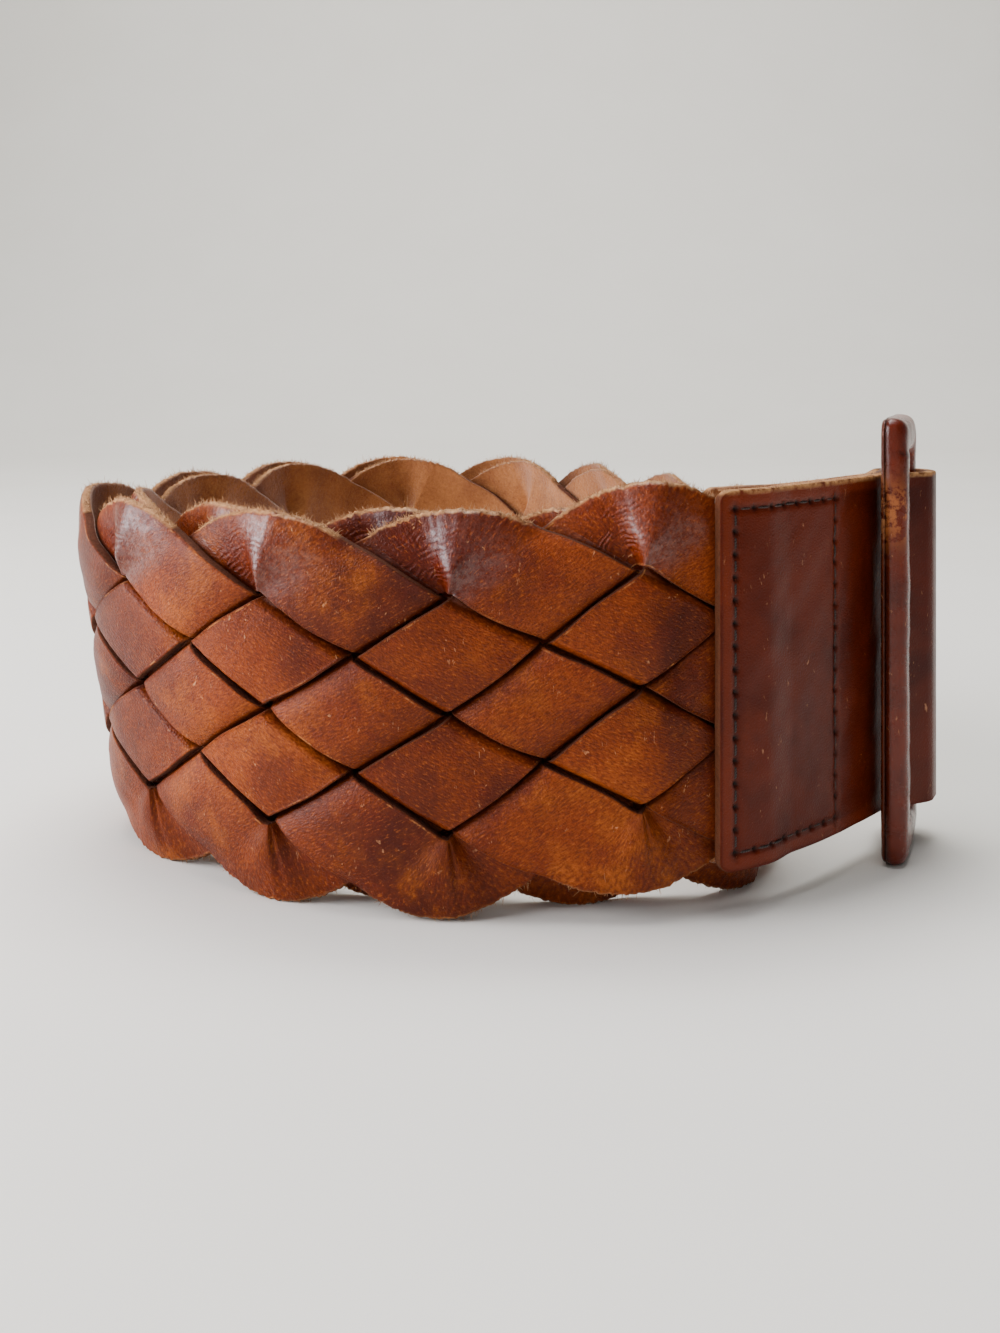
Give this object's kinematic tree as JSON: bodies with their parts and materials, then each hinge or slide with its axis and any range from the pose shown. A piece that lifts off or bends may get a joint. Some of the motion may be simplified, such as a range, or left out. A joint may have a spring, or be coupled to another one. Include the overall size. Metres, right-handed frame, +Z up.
{
  "type": "braided leather waist belt",
  "caption": "Wide flat-braided leather waist belt, coiled on its edge, with a folded, stitched tab that carries a swinging leather-covered rectangular frame buckle.",
  "frame": {"origin": "middle of the footprint of the coiled belt, on the surface that it stands on", "axes": "+X to the right along the coil's front run, towards the buckle; +Y to the back of the coil; +Z up, across the belt's width"},
  "size_m": [0.2008, 0.163, 0.0974],
  "materials": {
    "braided_strap_leather": "cognac vegetable-tanned, glossy grain side, burnished dark edges",
    "tab_leather": "dark chestnut, polished",
    "waxed_thread": "waxed",
    "buckle_core_steel": "hidden core",
    "buckle_cover_leather": "chestnut, worn tan at the edges",
    "buckle_lining_leather": "dark, plain"
  },
  "bodies": {
    "belt": {"strap_1": "braided_strap_leather", "strap_2": "braided_strap_leather", "strap_3": "braided_strap_leather", "strap_4": "braided_strap_leather", "strap_5": "braided_strap_leather", "strap_6": "braided_strap_leather", "buckle_tab": "tab_leather", "tab_top_thread": "waxed_thread", "tab_bobbin_thread": "waxed_thread", "tail_tab_outer": "tab_leather", "tail_tab_inner": "tab_leather", "tail_top_thread": "waxed_thread", "tail_bobbin_thread": "waxed_thread"},
    "buckle": {"buckle_core": "buckle_core_steel", "buckle_front_cover": "buckle_cover_leather", "buckle_back_lining": "buckle_lining_leather"}
  },
  "joints": [
    {"name": "buckle_hinge", "type": "hinge", "parent": "belt", "child": "buckle", "pos_m": [0.09322, -0.03014, 0.0487], "axis": [0, 0, 1], "range_deg": [0, 300]}
  ]
}
